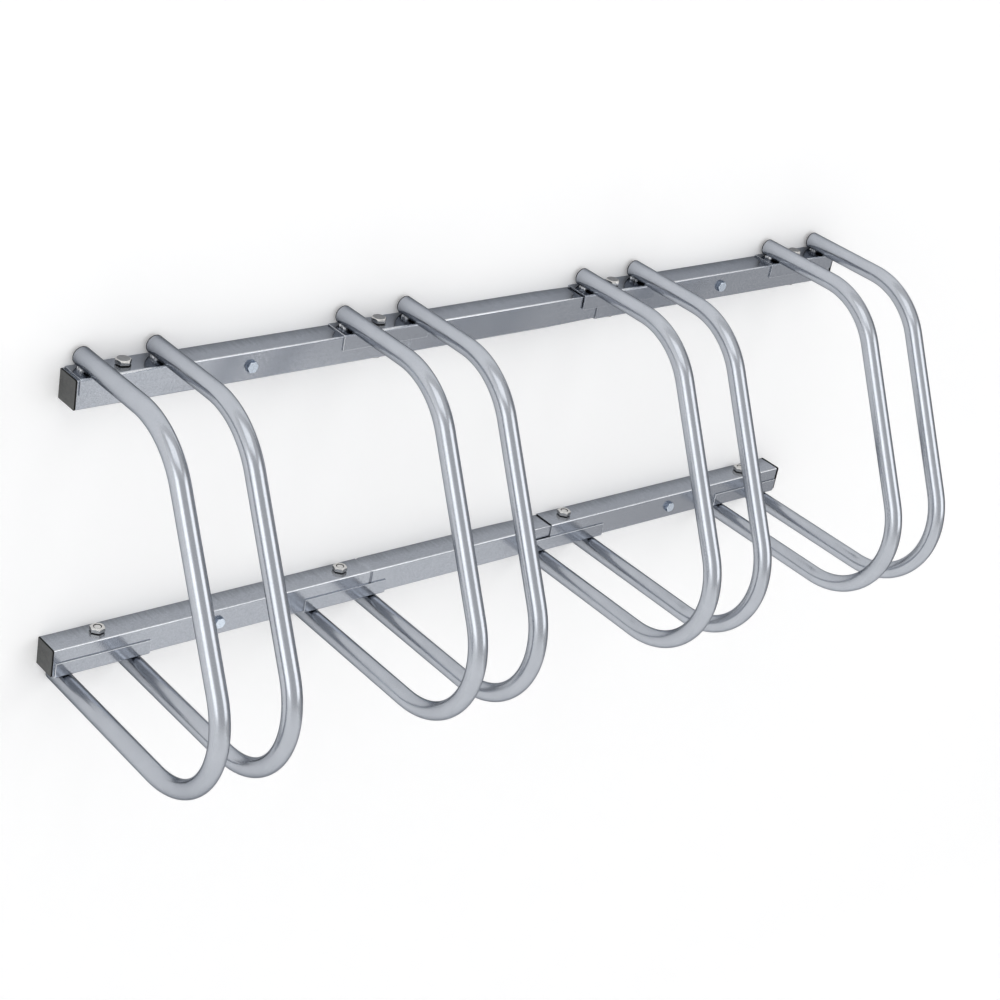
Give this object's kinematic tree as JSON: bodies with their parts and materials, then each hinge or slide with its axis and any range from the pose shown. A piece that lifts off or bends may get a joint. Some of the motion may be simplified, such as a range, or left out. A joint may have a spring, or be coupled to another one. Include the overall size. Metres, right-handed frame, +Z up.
{
  "type": "wall bike rack",
  "caption": "Wall-mounted bicycle rack: bent tube hoops in pairs hold front wheels, welded to brackets bolted on an upper and a lower square rail.",
  "frame": {"origin": "middle of the wall screw pattern, on the wall plane behind the rails", "axes": "+X along the rails to the right, +Y into the wall, +Z up; the hoops reach out to -Y"},
  "size_m": [0.943, 0.3033, 0.334],
  "materials": {
    "galvanised_steel": "galvanised, satin",
    "weld_metal": "as welded, galvanised over",
    "nickel_bolt": "bright plated",
    "zinc_screw": "blue zinc plated",
    "cap_plastic": "matt charcoal",
    "plug_plastic": "matt charcoal"
  },
  "bodies": {
    "root": {"upper_rail_left": "galvanised_steel", "upper_rail_middle": "galvanised_steel", "upper_rail_right": "galvanised_steel", "upper_cap_left": "cap_plastic", "upper_cap_right": "cap_plastic", "upper_bracket_1": "galvanised_steel", "upper_bracket_2": "galvanised_steel", "upper_bracket_3": "galvanised_steel", "upper_bracket_4": "galvanised_steel", "upper_hoop_plugs": "plug_plastic", "upper_weld_beads": "weld_metal", "upper_bolts": "nickel_bolt", "upper_nuts": "nickel_bolt", "lower_rail_left": "galvanised_steel", "lower_rail_middle": "galvanised_steel", "lower_rail_right": "galvanised_steel", "lower_cap_left": "cap_plastic", "lower_cap_right": "cap_plastic", "lower_bracket_1": "galvanised_steel", "lower_bracket_2": "galvanised_steel", "lower_bracket_3": "galvanised_steel", "lower_bracket_4": "galvanised_steel", "lower_hoop_plugs": "plug_plastic", "lower_weld_beads": "weld_metal", "lower_bolts": "nickel_bolt", "lower_nuts": "nickel_bolt", "hoop_1_left": "galvanised_steel", "hoop_1_right": "galvanised_steel", "hoop_2_left": "galvanised_steel", "hoop_2_right": "galvanised_steel", "hoop_3_left": "galvanised_steel", "hoop_3_right": "galvanised_steel", "hoop_4_left": "galvanised_steel", "hoop_4_right": "galvanised_steel", "wall_screws": "zinc_screw", "wall_screw_washers": "zinc_screw"}
  },
  "joints": []
}
